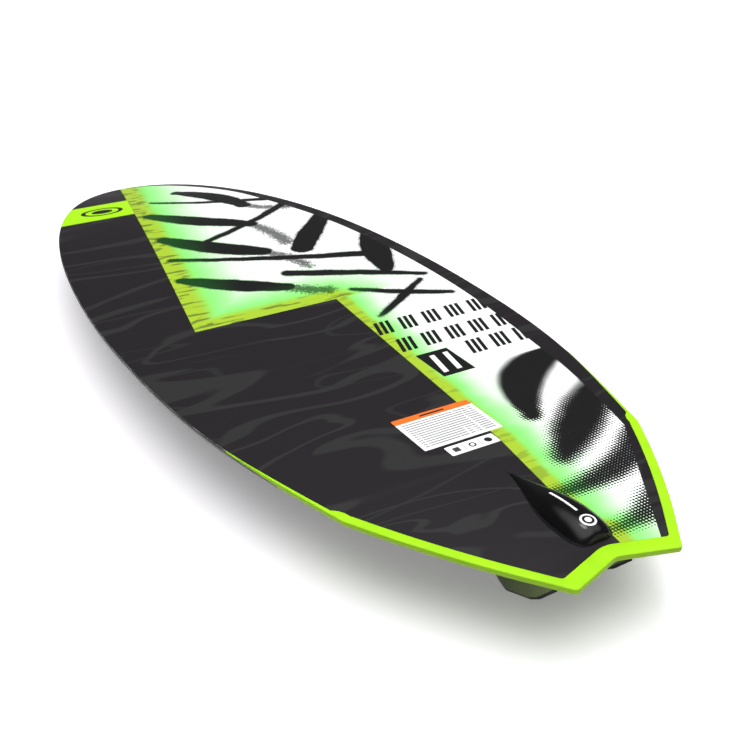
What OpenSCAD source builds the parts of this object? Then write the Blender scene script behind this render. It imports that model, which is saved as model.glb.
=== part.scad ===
// Wakesurf board with a swallow tail, a soft tail bumper and two screwed-on fins.
// Frame: +X to the nose, +Y to the left side, +Z up. The origin is below mid-length,
// on the centre line, level with the lowest point of the fins.
// Inside the modules X runs from the tail tips and Z from the deck; in_frame() moves both.

/* [Outline] */
// Length from the tail tips to the nose
board_len = 1321; // [1290:1:1350]
// Width at the wide point
board_w = 500; // [480:1:520]
// Wide point, from the tail tips
wide_x = 653; // [630:1:670]
// Wing, where the outline turns in to the tail
wing_x = 194; // [188:1:198]
// Half width at the wing
wing_half = 184.6; // [178:0.1:190]
// Half width across the tail tips
tip_half = 61; // [56:1:66]
// Depth of the swallow between the tail tips
notch_depth = 20; // [14:1:24]
// Bulge of the outline between the wing and the tail tip
tail_bulge = 5.3; // [3:0.1:7]
// Reach of the side curve ahead of the wing
wing_reach = 159; // [150:1:168]
// Reach of the side curve behind the wide point
wide_reach = 226; // [215:1:235]
// Reach of the nose curve ahead of the wide point
fore_reach = 238; // [225:1:250]
// Reach of the nose curve to each side of the nose
nose_reach = 182; // [175:1:190]
// Slope of the outline ahead of the wing
wing_slope = 0.274; // [0.24:0.002:0.3]
// Corner radius of the tail tips
tip_r = 5; // [3:0.5:7]
// Radius at the bottom of the swallow
notch_r = 15; // [8:1:18]

/* [Thickness] */
// Thickness at the wide point
mid_t = 30; // [26:1:34]
// Thickness under the tail
tail_t = 18; // [17:1:20]
// Drop of the deck at the nose
nose_drop = 22; // [14:1:23]
// Rise of the base at the nose
nose_rise = 3; // [1:1:6]
// Where the nose curve starts, from the tail tips
fore_x = 850; // [820:1:880]
// Height of the upright side at the tail
side_h_tail = 6; // [5.5:0.1:6.5]
// Height of the upright side at the nose
side_h_nose = 3.5; // [3.2:0.1:4]
// Rise of the bevelled underside for each millimetre towards the edge
bevel = 0.45; // [0.42:0.01:0.5]

/* [Layers] */
// Thickness of each glass-fibre laminate
glass_t = 0.8; // [0.6:0.1:1]
// Thickness of the printed deck sheet and of the base sheet
sheet_t = 0.6; // [0.5:0.1:0.8]
// Width of the wooden stringer
stringer_w = 5; // [3:1:8]
// Width of the rail and bumper under the deck sheet, at the sides
rail_w = 24; // [22:1:26]
// Extra width of the bumper along the tail edge
tail_extra = 6; // [5:1:8]

/* [Bumper] */
// Width of the bumper's top face at the sides
band_w = 10.5; // [8:0.5:12]
// Width of the bumper's top face along the tail edge
tail_band = 18; // [15:0.5:20]
// Width of its top face ahead of the step
thin_band = 4; // [3:0.5:6]
// Front end of the step in its top face, from the tail tips
step_front = 214; // [212:1:218]
// Rear end of the step
step_rear = 203; // [201:1:206]
// Front end of the lap over the rail, from the tail tips
lap_front = 366; // [350:1:380]
// Rear end of the lap
lap_rear = 284; // [275:1:295]

/* [Tail ridge] */
// Length of the raised ridge
ridge_len = 152; // [140:1:160]
// Rear end of the ridge, from the tail tips
ridge_x = 44; // [42:1:50]
// Half width of the ridge
ridge_half = 25; // [21:1:28]
// Height of the ridge
ridge_h = 14; // [9:1:15]
// How far the sides of its rear end lie behind the middle
ridge_sweep = 7; // [4:1:8]
// Thickness of the domed sticker on the ridge
cover_t = 0.6; // [0.4:0.1:1]

/* [Labels] */
// Rear edge of the large label, from the tail tips
info_x = 258; // [255:1:264]
// Length of the large label
info_len = 70; // [60:1:80]
// Width of the large label
info_w = 100; // [90:1:110]
// Rear edge of the small label, from the tail tips
icon_x = 235; // [225:1:236]
// Length of the small label
icon_len = 18; // [14:1:18]
// Width of the small label
icon_w = 61; // [50:1:70]
// Thickness of both labels
label_t = 0.25; // [0.2:0.05:0.4]

/* [Fins] */
// Distance of each fin from the centre line
fin_y = 45; // [42:1:48]
// Thickness of the fin plate
fin_t = 6; // [5:0.5:8]
// Depth of the fin below its foot
fin_depth = 63; // [55:1:70]
// Length of the foot
foot_len = 134; // [128:1:136]
// Width of the foot
foot_w = 32; // [30:1:34]
// Height of the foot
foot_h = 5; // [5:0.5:6]
// Rear end of the foot, from the tail tips
foot_x = 62; // [60:1:64]
// Spacing of the four screws along the board
screw_gap_x = 84; // [76:1:92]
// Spacing of the four screws across the board
screw_gap_y = 19; // [18:1:20]
// Length of the fin block
block_len = 138; // [134:1:139]
// Width of the fin block
block_w = 40; // [36:1:42]
// Height of the fin block
block_h = 12; // [11:0.5:12]

/* [Hidden] */
$fn = 40;

foot = [foot_len, foot_w, foot_h];
block = [block_len, block_w, block_h];
screw_grid = [screw_gap_x, screw_gap_y];
step_x = [step_front, step_rear];
lap_x = [lap_front, lap_rear];
skin_t = glass_t + sheet_t;         // laminate and sheet together
bond = 0.1;                         // glue line between pieces whose faces curve together
foot_gap = 0.3;                     // clearance between the foot and the base
deck_h = tail_t + foot_gap + foot[2] + fin_depth;   // deck above the lowest point
sheet_inset = 0.8;                  // the rail's small edge bevel beside the sheet
foot_mid = foot_x + foot[0] / 2;
screw_r = 2;                        // M4
screw_len = 12;
head_r = 3.6;
head_h = 2.4;
insert_r = 4;
insert_len = 9.5;
running = 0.08;                     // radial clearance of a screw in its insert

// ---- Small helpers ----

// Point at t on a cubic curve with the four points p
function curve(p, t) =
    pow(1 - t, 3) * p[0] + 3 * pow(1 - t, 2) * t * p[1] + 3 * (1 - t) * t * t * p[2] + pow(t, 3) * p[3];
function curve_dir(p, t) =
    pow(1 - t, 2) * (p[1] - p[0]) + 2 * (1 - t) * t * (p[2] - p[1]) + t * t * (p[3] - p[2]);
// Where on the curve p its X is x, by halving; X must grow along the curve
function curve_at(p, x, lo = 0, hi = 1, n = 24) =
    n == 0 ? (lo + hi) / 2
    : curve(p, (lo + hi) / 2)[0] < x ? curve_at(p, x, (lo + hi) / 2, hi, n - 1)
    : curve_at(p, x, lo, (lo + hi) / 2, n - 1);
function unit(v) = v / norm(v);
function polar(a) = [cos(a), sin(a)];
function smooth(u) = u * u * (3 - 2 * u);
function clamp(u) = min(1, max(0, u));
function mix(a, b, u) = a + (b - a) * u;

module in_frame() {
    translate([-board_len / 2, 0, deck_h]) children();
}
// The child on the left side, or its mirror image on the right
module on_side(side) {
    if (side == "left") children();
    else mirror([0, 1, 0]) children();
}

// ---- Heights along the board ----

function fore(x) = max(0, (x - fore_x) / (board_len - fore_x));
deck_z = function(x) -nose_drop * pow(fore(x), 2);
side_z = function(x) deck_z(x) - mix(side_h_tail, side_h_nose, x / board_len);
function base_z(x) =
    -mix(tail_t, mid_t, smooth(clamp((x - 200) / 400))) + nose_rise * pow(fore(x), 2);
// Height of the underside at the distance in from the edge
function under_z(x, inset) = max(base_z(x), side_z(x) - inset * bevel);
// Distance in from the edge where the bevel meets the flat base
function bevel_w(x) = max(rail_w + 3, (side_z(x) - base_z(x)) / bevel);

// ---- Outline of the left half, from the nose to the middle of the swallow ----

nose_curve = [[wide_x, board_w / 2], [wide_x + fore_reach, board_w / 2],
              [board_len, nose_reach], [board_len, 0]];
mid_curve = [[wing_x, wing_half], [wing_x + wing_reach, wing_half + wing_slope * wing_reach],
             [wide_x - wide_reach, board_w / 2], [wide_x, board_w / 2]];
tip = [0, tip_half];
wing = [wing_x, wing_half];
bulge = tail_bulge * 4 / 3 * unit([tip[1] - wing[1], wing[0]]);
tail_curve = [tip, mix(tip, wing, 1 / 3) + bulge, mix(tip, wing, 2 / 3) + bulge, wing];

// One station: a point of the outline and the direction out of the board there
function station(p, t) =
    let (d = unit(curve_dir(p, t)), n = [-d[1], d[0]]) [curve(p, t), n];

nose_steps = 18;
mid_x = [600, 540, 480, 420, lap_x[0], 325, lap_x[1], lap_x[1] - 0.1, 250, step_x[0], step_x[1]];
side_stations = concat(
    [for (i = [nose_steps:-1:0]) station(nose_curve, i / nose_steps)],
    [for (x = mid_x) station(mid_curve, curve_at(mid_curve, x))],
    [for (t = [0.98, 0.75, 0.5, 0.28]) station(tail_curve, t)]);
side_count = len(side_stations);
last_side = side_count - 1;

// Directions out of the board beside the tail tip, and along the tail edge
tip_dir = station(tail_curve, 0)[1];
edge_dir = -unit([tip_half, notch_depth]);
tip_angle = atan2(tip_dir[1], tip_dir[0]);
edge_angle = atan2(edge_dir[1], edge_dir[0]) + 360;
tip_steps = 3;
notch_steps = 2;
last = last_side + 1 + tip_steps + 1 + notch_steps;

// Corner at the tail tip, moved in by a from the side and by b from the tail edge
function tip_corner(a, b) =
    let (det = tip_dir[0] * edge_dir[1] - tip_dir[1] * edge_dir[0])
    tip + [b * tip_dir[1] - a * edge_dir[1], a * edge_dir[0] - b * tip_dir[0]] / det;

// Point of the outline at station k, moved in by a at the sides and by b at the tail edge
function plan(k, a, b) =
    k <= last_side ? side_stations[k][0] - a * side_stations[k][1]
    : k <= last_side + 1 + tip_steps
    ? tip_corner(a + tip_r, b + tip_r)
      + tip_r * polar(mix(tip_angle, edge_angle, (k - last_side - 1) / tip_steps))
    : [notch_depth + notch_r / edge_dir[0], 0]
      - (notch_r + b) * polar(mix(edge_angle, 180, (k - last + notch_steps) / notch_steps));

// ---- Flat bodies: half a board between two heights, from the rim to y0 ----

// Insets of the columns of points across a half board: rim, end of the bevel, middle
function inset(k, j, rim) = j == 0 ? rim[0] : bevel_w(side_stations[min(k, last_side)][0][0]);
function tail_inset(k, j, rim) = j == 0 ? rim[1] : inset(k, 1, rim) + tail_extra;
function column(k, j, rim, y0) =
    let (i = j == 2 ? min(k, last_side) : k, p = plan(i, inset(i, j, rim), tail_inset(i, j, rim)))
    [p[0], j == 2 ? y0 : max(y0, p[1])];

// rims holds the [side, tail] inset of the rim at each station.
// kind 0 is a layer under the deck, kind 1 a layer on the base, kind 2 the space between them.
// top and low place its two faces: below the deck, or above the underside.
module half_board(rims, y0, kind, top, low) {
    function upper(p, a) = kind == 1 ? under_z(p[0], a) + top : deck_z(p[0]) - top;
    function lower(p, a) = kind == 0 ? deck_z(p[0]) - low : under_z(p[0], a) + low;
    points = [for (k = [0:last], j = [0:2], s = [0, 1])
        let (p = column(k, j, rims[k], y0), a = j == 0 ? rim_depth(rims[k], k) : 1000)
        [p[0], p[1], s == 0 ? upper(p, a) : lower(p, a)]];
    function v(k, j, s) = ((j == 2 ? min(k, last_side) : k) * 3 + j) * 2 + s;
    function quad(a, b, c, d) = concat(a == b ? [] : [[a, b, c]], c == d ? [] : [[a, c, d]]);
    faces = concat(
        [for (k = [0:last - 1], j = [0, 1], f = top_faces(v(k, j, 0), v(k, j + 1, 0),
            v(k + 1, j + 1, 0), v(k + 1, j, 0))) f],
        [for (k = [0:last - 1], j = [0, 1], f = top_faces(v(k, j, 1), v(k, j + 1, 1),
            v(k + 1, j + 1, 1), v(k + 1, j, 1))) [f[2], f[1], f[0]]],
        [for (k = [0:last - 1], f = quad(v(k, 0, 0), v(k + 1, 0, 0), v(k + 1, 0, 1), v(k, 0, 1))) f],
        [for (k = [0:last_side - 1], f = quad(v(k + 1, 2, 0), v(k, 2, 0), v(k, 2, 1), v(k + 1, 2, 1))) f],
        [for (j = [0, 1], f = quad(v(0, j + 1, 0), v(0, j, 0), v(0, j, 1), v(0, j + 1, 1))) f],
        [for (j = [0, 1], f = quad(v(last, j, 0), v(last, j + 1, 0), v(last, j + 1, 1), v(last, j, 1))) f]);
    polyhedron(points, faces, convexity = 4);
}
// Two triangles of a quad, or one where two corners meet at the middle column
function top_faces(a, b, c, d) = concat(b == c ? [] : [[a, b, c]], [[a, c, d]]);
// How far the rim lies in from the edge, for the height of the underside
function rim_depth(rim, k) = k > last_side ? rim[1] - tail_extra : rim[0];

module whole_board(rims, kind, top, low) {
    half_board(rims, 0, kind, top, low);
    mirror([0, 1, 0]) half_board(rims, 0, kind, top, low);
}

core_rims = [for (k = [0:last]) [rail_w + bond, rail_w + tail_extra + bond]];
// Width of the bumper's top face at station k
function band(k) =
    let (x = side_stations[min(k, last_side)][0][0])
    x > lap_x[0] ? sheet_inset
    : x >= step_x[0] ? mix(thin_band, sheet_inset, (x - step_x[0]) / (lap_x[0] - step_x[0]))
    : band_w;
sheet_rims = [for (k = [0:last]) [band(k) + bond, (k > last_side ? tail_band : band(k)) + bond]];

// ---- Rail and bumper: a section swept along the edge ----

// Height of the joint between the rail and the bumper that laps over it
lap_z = function(x)
    mix(-skin_t - 0.6, 0.8 + side_z(x), clamp((lap_x[0] - x) / (lap_x[0] - lap_x[1])));
function in_lap(x) = x <= lap_x[0] + 0.01 && x >= lap_x[1] - 0.01;

// A point of a section: inset from the edge and its height
function edge_point(k, n, zf) =
    let (i = abs(k), p = plan(i, n, n <= 0 ? 0 : tail_reach(i, n)))
    [p[0], (k < 0 ? -1 : 1) * p[1], zf(p[0])];
// Inset along the tail edge that goes with the inset n at the sides
function tail_reach(i, n) =
    n >= rail_w - 2 ? n + tail_extra : n == band(i) ? tail_band : n;

function rail_section(k) =
    let (x0 = side_stations[abs(k)][0][0],
         top = in_lap(x0) ? lap_z : function(x) deck_z(x) - skin_t - bond)
    [edge_point(k, rail_w, top),
     edge_point(k, sheet_inset, top),
     edge_point(k, 0, function(x) top(x) - 0.5),
     edge_point(k, 0, side_z),
     edge_point(k, min(rail_w - 2, (side_z(x0) - base_z(x0)) / bevel),
                function(x) under_z(x, min(rail_w - 2, (side_z(x0) - base_z(x0)) / bevel))),
     edge_point(k, rail_w, function(x) under_z(x, rail_w))];

function bumper_section(k) =
    let (x0 = side_stations[min(abs(k), last_side)][0][0], lap = in_lap(x0),
         joint_z = function(x) lap_z(x) + bond)
    [edge_point(k, rail_w, function(x) deck_z(x) - skin_t - bond),
     edge_point(k, band(abs(k)), function(x) deck_z(x) - skin_t - bond),
     edge_point(k, band(abs(k)), deck_z),
     edge_point(k, sheet_inset * 0.9, deck_z),
     edge_point(k, 0, function(x) deck_z(x) - 0.9),
     edge_point(k, 0, lap ? joint_z : side_z),
     edge_point(k, rail_w - 2, lap ? joint_z : function(x) under_z(x, rail_w - 2)),
     edge_point(k, rail_w, lap ? joint_z : function(x) under_z(x, rail_w))];

// Joins the sections into one body; the caps fan out from each section's second point
module swept(sections) {
    m = len(sections[0]);
    n = len(sections);
    points = [for (s = sections, p = s) p];
    walls = [for (i = [0:n - 2], j = [0:m - 1])
        let (a = i * m + j, b = i * m + (j + 1) % m, c = b + m, d = a + m)
        each [[a, b, c], [a, c, d]]];
    function cap(first) = [for (j = [2:m - 1]) [first + 1, first + j, first + (j + 1) % m]];
    polyhedron(points, concat(walls, [for (f = cap(0)) [f[2], f[1], f[0]]], cap((n - 1) * m)),
               convexity = 6);
}

// Stations from k on the right side, through the nose at 0, to k on the left
lap_start = nose_steps + 1 + 4;     // station at the front end of the lap
lap_end = lap_start + 2;            // station at its rear end

module front_rail() {
    color([0.07, 0.07, 0.08]) in_frame()
        swept([for (k = [-lap_end:lap_end]) rail_section(k)]);
}

module tail_bumper() {
    color([0.68, 0.95, 0.15]) in_frame()
        swept(concat([for (k = [lap_start:last]) bumper_section(k)],
                     [for (k = [last - 1:-1:lap_start]) bumper_section(-k)]));
}

// ---- Core, stringer and skins ----

module core_half() {
    difference() {
        half_board(core_rims, stringer_w / 2, 2, skin_t + bond, skin_t + bond);
        block_pocket();
    }
}
module core_left() {
    color([0.93, 0.91, 0.85]) in_frame() on_side("left") core_half();
}
module core_right() {
    color([0.93, 0.91, 0.85]) in_frame() on_side("right") core_half();
}

// Side view of the stringer, through the same stations as the core's inner wall
module stringer() {
    ends = [plan(0, rail_w + bond, 0)[0], plan(last, 0, rail_w + tail_extra + bond)[0]];
    xs = concat([ends[0]], [for (k = [0:last_side]) column(k, 2, core_rims[k], 0)[0]],
                [plan(last, 0, bevel_w(0) + tail_extra)[0], ends[1]]);
    color([0.72, 0.53, 0.33]) in_frame() translate([0, stringer_w / 2, 0]) rotate([90, 0, 0])
        linear_extrude(stringer_w)
            polygon(concat([for (x = xs) [x, deck_z(x) - skin_t - bond]],
                           [for (i = [len(xs) - 1:-1:0]) [xs[i], base_z(xs[i]) + skin_t + bond]]));
}

module deck_laminate() {
    color([0.75, 0.8, 0.75]) in_frame() whole_board(sheet_rims, 0, sheet_t, skin_t);
}
module topsheet() {
    color([0.19, 0.18, 0.18]) in_frame() whole_board(sheet_rims, 0, 0, sheet_t);
}
module base_laminate() {
    color([0.75, 0.8, 0.75]) in_frame() difference() {
        whole_board(core_rims, 1, skin_t, sheet_t);
        both_pockets();
    }
}
module base_sheet() {
    color([0.12, 0.12, 0.13]) in_frame() difference() {
        whole_board(core_rims, 1, sheet_t, 0);
        both_pockets();
    }
}

// ---- Ridge and stickers on the deck ----

ridge_rows = 16;
ridge_cols = 20;
// Shape of the ridge: u runs from its rear end to its front point, w from side to side.
// Its rear end is swept back with the swallow.
function teardrop(u) =
    u < 0.25 ? pow(1 - pow(1 - 4 * u, 3), 1 / 3) : (1 + cos(240 * (u - 0.25))) / 2;
function ridge_point(i, j) =
    let (u = mix(0.005, 0.95, pow(i / ridge_rows, 1.5)), w = mix(-1, 1, j / ridge_cols),
         y = ridge_half * teardrop(u) * w)
    [ridge_x + ridge_len * u - ridge_sweep * pow(y / ridge_half, 2) * pow(1 - u, 2), y,
     ridge_h * teardrop(u) * (1 - pow(abs(w), 3))];

// Closed body between a grid of points and the same grid moved by the function low
module grid_body(rows, cols, low) {
    n = cols[1] - cols[0] + 1;
    m = rows[1] - rows[0] + 1;
    grid = [for (i = [rows[0]:rows[1]], j = [cols[0]:cols[1]]) ridge_point(i, j)];
    points = concat([for (p = grid) low(p)[1]], [for (p = grid) low(p)[0]]);
    function at(i, j, s) = s * n * m + i * n + j;
    polyhedron(points, concat(
        [for (i = [0:m - 2], j = [0:n - 2]) each
            [[at(i, j, 0), at(i, j + 1, 0), at(i + 1, j + 1, 0)],
             [at(i, j, 0), at(i + 1, j + 1, 0), at(i + 1, j, 0)]]],
        [for (i = [0:m - 2], j = [0:n - 2]) each
            [[at(i, j, 1), at(i + 1, j + 1, 1), at(i, j + 1, 1)],
             [at(i, j, 1), at(i + 1, j, 1), at(i + 1, j + 1, 1)]]],
        [for (i = [0:m - 2]) each
            [[at(i, 0, 0), at(i + 1, 0, 0), at(i + 1, 0, 1)], [at(i, 0, 0), at(i + 1, 0, 1), at(i, 0, 1)],
             [at(i, n - 1, 0), at(i + 1, n - 1, 1), at(i + 1, n - 1, 0)],
             [at(i, n - 1, 0), at(i, n - 1, 1), at(i + 1, n - 1, 1)]]],
        [for (j = [0:n - 2]) each
            [[at(0, j, 0), at(0, j, 1), at(0, j + 1, 1)], [at(0, j, 0), at(0, j + 1, 1), at(0, j + 1, 0)],
             [at(m - 1, j, 0), at(m - 1, j + 1, 1), at(m - 1, j, 1)],
             [at(m - 1, j, 0), at(m - 1, j + 1, 0), at(m - 1, j + 1, 1)]]]),
        convexity = 4);
}

module tail_ridge() {
    color([0.15, 0.15, 0.15]) in_frame()
        grid_body([0, ridge_rows], [0, ridge_cols],
                  function(p) [[p[0], p[1], 0], [p[0], p[1], p[2] + 0.2]]);
}
module ridge_cover() {
    color([0.02, 0.02, 0.02]) in_frame()
        grid_body([1, ridge_rows - 1], [1, ridge_cols - 1],
                  function(p) [[p[0], p[1], p[2] + 0.2], [p[0], p[1], p[2] + 0.2 + cover_t]]);
}

module sticker(x, len, width) {
    translate([x, -width / 2, 0]) cube([len, width, label_t]);
}
module info_label() {
    color("white") in_frame() sticker(info_x, info_len, info_w);
}
module icon_label() {
    color("white") in_frame() sticker(icon_x, icon_len, icon_w);
}

// ---- Fins, their blocks and screws (left side; the right side is the mirror image) ----

// Puts a child at each of the four screws, at the height of the base
module at_screws() {
    for (x = [-1, 1], y = [-1, 1])
        translate([foot_mid + x * screw_grid[0] / 2, fin_y + y * screw_grid[1] / 2, -tail_t]) children();
}
// A plate with round ends, from the base up
module stadium(size, height) {
    linear_extrude(height) hull()
        for (x = [-1, 1], y = [-1, 1])
            translate([x * (size[0] / 2 - 6), y * (size[1] / 2 - 6)]) circle(6);
}

module block_pocket() {
    translate([foot_mid - block[0] / 2, fin_y - block[1] / 2, -tail_t - 1])
        cube([block[0], block[1], block[2] + 1]);
}
module both_pockets() {
    block_pocket();
    mirror([0, 1, 0]) block_pocket();
}
module fin_block(side) {
    color([0.2, 0.2, 0.22]) in_frame() on_side(side) difference() {
        translate([foot_mid - block[0] / 2, fin_y - block[1] / 2, -tail_t]) cube(block);
        at_screws() translate([0, 0, -1]) cylinder(r = insert_r, h = insert_len + 1);
    }
}
module fin_block_left() {
    fin_block("left");
}
module fin_block_right() {
    fin_block("right");
}

module thread_inserts(side) {
    color([0.8, 0.65, 0.3]) in_frame() on_side(side) at_screws() difference() {
        cylinder(r = insert_r, h = insert_len);
        translate([0, 0, -1]) cylinder(r = screw_r + running, h = insert_len);
    }
}
module thread_inserts_left() {
    thread_inserts("left");
}
module thread_inserts_right() {
    thread_inserts("right");
}

// Side view of the fin plate: X from the tail tips, Y down from the foot
fin_shape = [[foot_x + 3, 0], [foot_x - 19, 14], [66, 39], [79, 48], [117, fin_depth],
             [132, fin_depth - 6], [foot_x + foot[0] - 10, 0]];
module fin(side) {
    color([0.55, 0.57, 0.6]) in_frame() on_side(side) translate([0, 0, -tail_t - foot_gap - foot[2]]) {
        translate([0, fin_y + fin_t / 2, 0]) rotate([90, 0, 0]) linear_extrude(fin_t)
            polygon([for (p = fin_shape) [p[0], p[1] == 0 ? 1 : -p[1]]]);
        difference() {
            translate([foot_mid, fin_y, 0]) stadium(foot, foot[2]);
            translate([0, 0, tail_t]) at_screws() {
                translate([0, 0, -1]) cylinder(r = screw_r + 0.3, h = foot[2] + 2);
                translate([0, 0, -1]) cylinder(r = head_r + 0.3, h = head_h + 1.2);
            }
        }
    }
}
module fin_left() {
    fin("left");
}
module fin_right() {
    fin("right");
}

// Pan-head screws with a slot, from the foot's counterbore into the insert
module fin_screws(side) {
    head_z = -foot_gap - foot[2] + 0.3;
    color([0.75, 0.76, 0.78]) in_frame() on_side(side) at_screws() difference() {
        union() {
            translate([0, 0, head_z]) cylinder(r = screw_r, h = screw_len);
            translate([0, 0, head_z]) cylinder(r = head_r, h = head_h - 0.3);
        }
        translate([0, 0, head_z - 0.5]) cylinder(r = 1.5, h = 1.8, $fn = 6);
    }
}
module fin_screws_left() {
    fin_screws("left");
}
module fin_screws_right() {
    fin_screws("right");
}

core_left();
core_right();
stringer();
deck_laminate();
base_laminate();
topsheet();
base_sheet();
front_rail();
tail_bumper();
tail_ridge();
ridge_cover();
info_label();
icon_label();
fin_block_left();
fin_block_right();
thread_inserts_left();
thread_inserts_right();
fin_left();
fin_right();
fin_screws_left();
fin_screws_right();
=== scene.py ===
"""Looks for the wakesurf board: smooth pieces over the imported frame, procedural materials, light, camera.

Sizes are in millimetres, with x from the tail tips towards the nose and z from the deck, as in the
part's own source. to_frame() turns them into the shared frame in metres.
"""
import math
from functools import reduce

import bpy
import numpy as np
from mathutils import Matrix, Vector


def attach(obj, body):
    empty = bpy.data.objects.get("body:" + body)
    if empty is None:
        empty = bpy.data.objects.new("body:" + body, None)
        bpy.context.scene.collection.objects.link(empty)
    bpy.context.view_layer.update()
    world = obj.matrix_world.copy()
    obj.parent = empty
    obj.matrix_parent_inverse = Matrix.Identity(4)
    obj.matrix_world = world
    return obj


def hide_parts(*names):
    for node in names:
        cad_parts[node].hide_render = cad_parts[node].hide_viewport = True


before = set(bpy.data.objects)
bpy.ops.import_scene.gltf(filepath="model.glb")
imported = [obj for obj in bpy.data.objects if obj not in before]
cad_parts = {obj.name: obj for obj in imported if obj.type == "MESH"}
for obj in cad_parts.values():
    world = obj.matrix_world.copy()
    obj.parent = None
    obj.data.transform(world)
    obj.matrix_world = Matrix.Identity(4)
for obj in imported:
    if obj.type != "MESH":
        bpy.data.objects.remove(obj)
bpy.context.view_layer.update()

# ---- Sizes, the same as the part's ----

BOARD_LEN = 1321.0
BOARD_HALF = 250.0
WIDE_X = 653.0
WING = np.array([194.0, 184.6])
TIP = np.array([0.0, 61.0])
NOTCH_DEPTH = 20.0
TAIL_BULGE = 5.3
WING_REACH = 159.0
WING_SLOPE = 0.274
WIDE_REACH = 226.0
FORE_REACH = 238.0
NOSE_REACH = 182.0
TIP_R = 5.0
NOTCH_R = 15.0

MID_T = 30.0
TAIL_T = 18.0
THICKEN_X = 200.0
THICKEN_LEN = 400.0
NOSE_DROP = 22.0
NOSE_RISE = 3.0
FORE_X = 850.0
TAIL_SIDE_H = 6.0
NOSE_SIDE_H = 3.5
BEVEL = 0.45

SHEET_T = 0.6
SKIN_T = 1.4
BOND = 0.1
RAIL_W = 24.0
TAIL_EXTRA = 6.0
BAND_W = 10.5
TAIL_BAND = 18.0
THIN_BAND = 4.0
SHEET_INSET = 0.8
STEP_FRONT = 214.0
STEP_REAR = 203.0
LAP_FRONT = 366.0
LAP_REAR = 284.0

RIDGE_X = 44.0
RIDGE_LEN = 152.0
RIDGE_HALF = 25.0
RIDGE_H = 14.0
RIDGE_SWEEP = 7.0
COVER_T = 0.6
# Labels: rear edge, front edge, half width
INFO_LABEL = (258.0, 328.0, 50.0)
ICON_LABEL = (235.0, 253.0, 30.5)
LABEL_T = 0.25

FIN_Y = 45.0
FIN_T = 6.0
FIN_DEPTH = 63.0
FOOT_X = 62.0
FOOT_LEN = 134.0
FOOT_W = 32.0
FOOT_H = 5.0
FOOT_GAP = 0.3
SCREW_GAP_X = 84.0
SCREW_GAP_Y = 19.0
BLOCK_LEN = 138.0
BLOCK_W = 40.0

FOOT_MID = FOOT_X + FOOT_LEN / 2
DECK_H = TAIL_T + FOOT_GAP + FOOT_H + FIN_DEPTH
FIN_TOP = -TAIL_T - FOOT_GAP - FOOT_H


def to_frame(points):
    """Points in millimetres from the tail tips and the deck, in the shared frame."""
    p = np.asarray(points, float)
    return (p + [-BOARD_LEN / 2, 0.0, DECK_H]) / 1000.0


# ---- Heights along the board ----


def smooth(u):
    u = np.clip(u, 0.0, 1.0)
    return u * u * (3 - 2 * u)


def fore(x):
    return np.maximum(0.0, (x - FORE_X) / (BOARD_LEN - FORE_X))


def deck_z(x):
    return -NOSE_DROP * fore(x) ** 2


def base_z(x):
    thickness = TAIL_T + (MID_T - TAIL_T) * smooth((x - THICKEN_X) / THICKEN_LEN)
    return NOSE_RISE * fore(x) ** 2 - thickness


def side_z(x):
    return deck_z(x) - (TAIL_SIDE_H + (NOSE_SIDE_H - TAIL_SIDE_H) * x / BOARD_LEN)


def under_z(x, inset):
    return np.maximum(base_z(x), side_z(x) - inset * BEVEL)


def under_deck_z(x):
    """Height of the faces glued under the laminate."""
    return deck_z(x) - SKIN_T - BOND


def lap_z(x):
    """Height of the joint where the bumper laps over the rail: it slopes down towards the tail."""
    u = np.clip((LAP_FRONT - x) / (LAP_FRONT - LAP_REAR), 0.0, 1.0)
    return (1 - u) * (-SKIN_T - 0.6) + u * (0.8 + side_z(x))


def lapped(x):
    """Whether the bumper laps over the rail at x."""
    return LAP_REAR - 0.01 <= x <= LAP_FRONT + 0.01


# ---- Outline: stations from the nose to the middle of the swallow, on the left side ----


def curve(p, t):
    p = np.asarray(p, float)
    return (1 - t) ** 3 * p[0] + 3 * (1 - t) ** 2 * t * p[1] + 3 * (1 - t) * t * t * p[2] + t**3 * p[3]


def curve_dir(p, t):
    p = np.asarray(p, float)
    return (1 - t) ** 2 * (p[1] - p[0]) + 2 * (1 - t) * t * (p[2] - p[1]) + t * t * (p[3] - p[2])


def outward(d):
    return np.array([-d[1], d[0]]) / np.hypot(*d)


NOSE_CURVE = [
    (WIDE_X, BOARD_HALF),
    (WIDE_X + FORE_REACH, BOARD_HALF),
    (BOARD_LEN, NOSE_REACH),
    (BOARD_LEN, 0),
]
MID_CURVE = [
    WING,
    WING + [WING_REACH, WING_SLOPE * WING_REACH],
    (WIDE_X - WIDE_REACH, BOARD_HALF),
    (WIDE_X, BOARD_HALF),
]
PUSH = TAIL_BULGE * 4 / 3 * outward(WING - TIP)
TAIL_CURVE = [TIP, TIP + (WING - TIP) / 3 + PUSH, TIP + (WING - TIP) * 2 / 3 + PUSH, WING]
SIDES = (
    [(NOSE_CURVE, t) for t in np.linspace(1, 0, 61)]
    + [(MID_CURVE, t) for t in np.linspace(1, 0, 73)[1:]]
    + [(TAIL_CURVE, t) for t in np.linspace(1, 0.26, 21)[1:]]
)
SIDE_POINTS = [(curve(c, t), outward(curve_dir(c, t))) for c, t in SIDES]
LAST_SIDE = len(SIDE_POINTS) - 1
TIP_DIR = outward(curve_dir(TAIL_CURVE, 0.0))
EDGE_DIR = -np.array([TIP[1], NOTCH_DEPTH]) / math.hypot(TIP[1], NOTCH_DEPTH)
TIP_ANGLE = math.atan2(TIP_DIR[1], TIP_DIR[0])
EDGE_ANGLE = math.atan2(EDGE_DIR[1], EDGE_DIR[0]) + 2 * math.pi
TIP_ANGLES = list(np.linspace(TIP_ANGLE, EDGE_ANGLE, 9))
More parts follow.
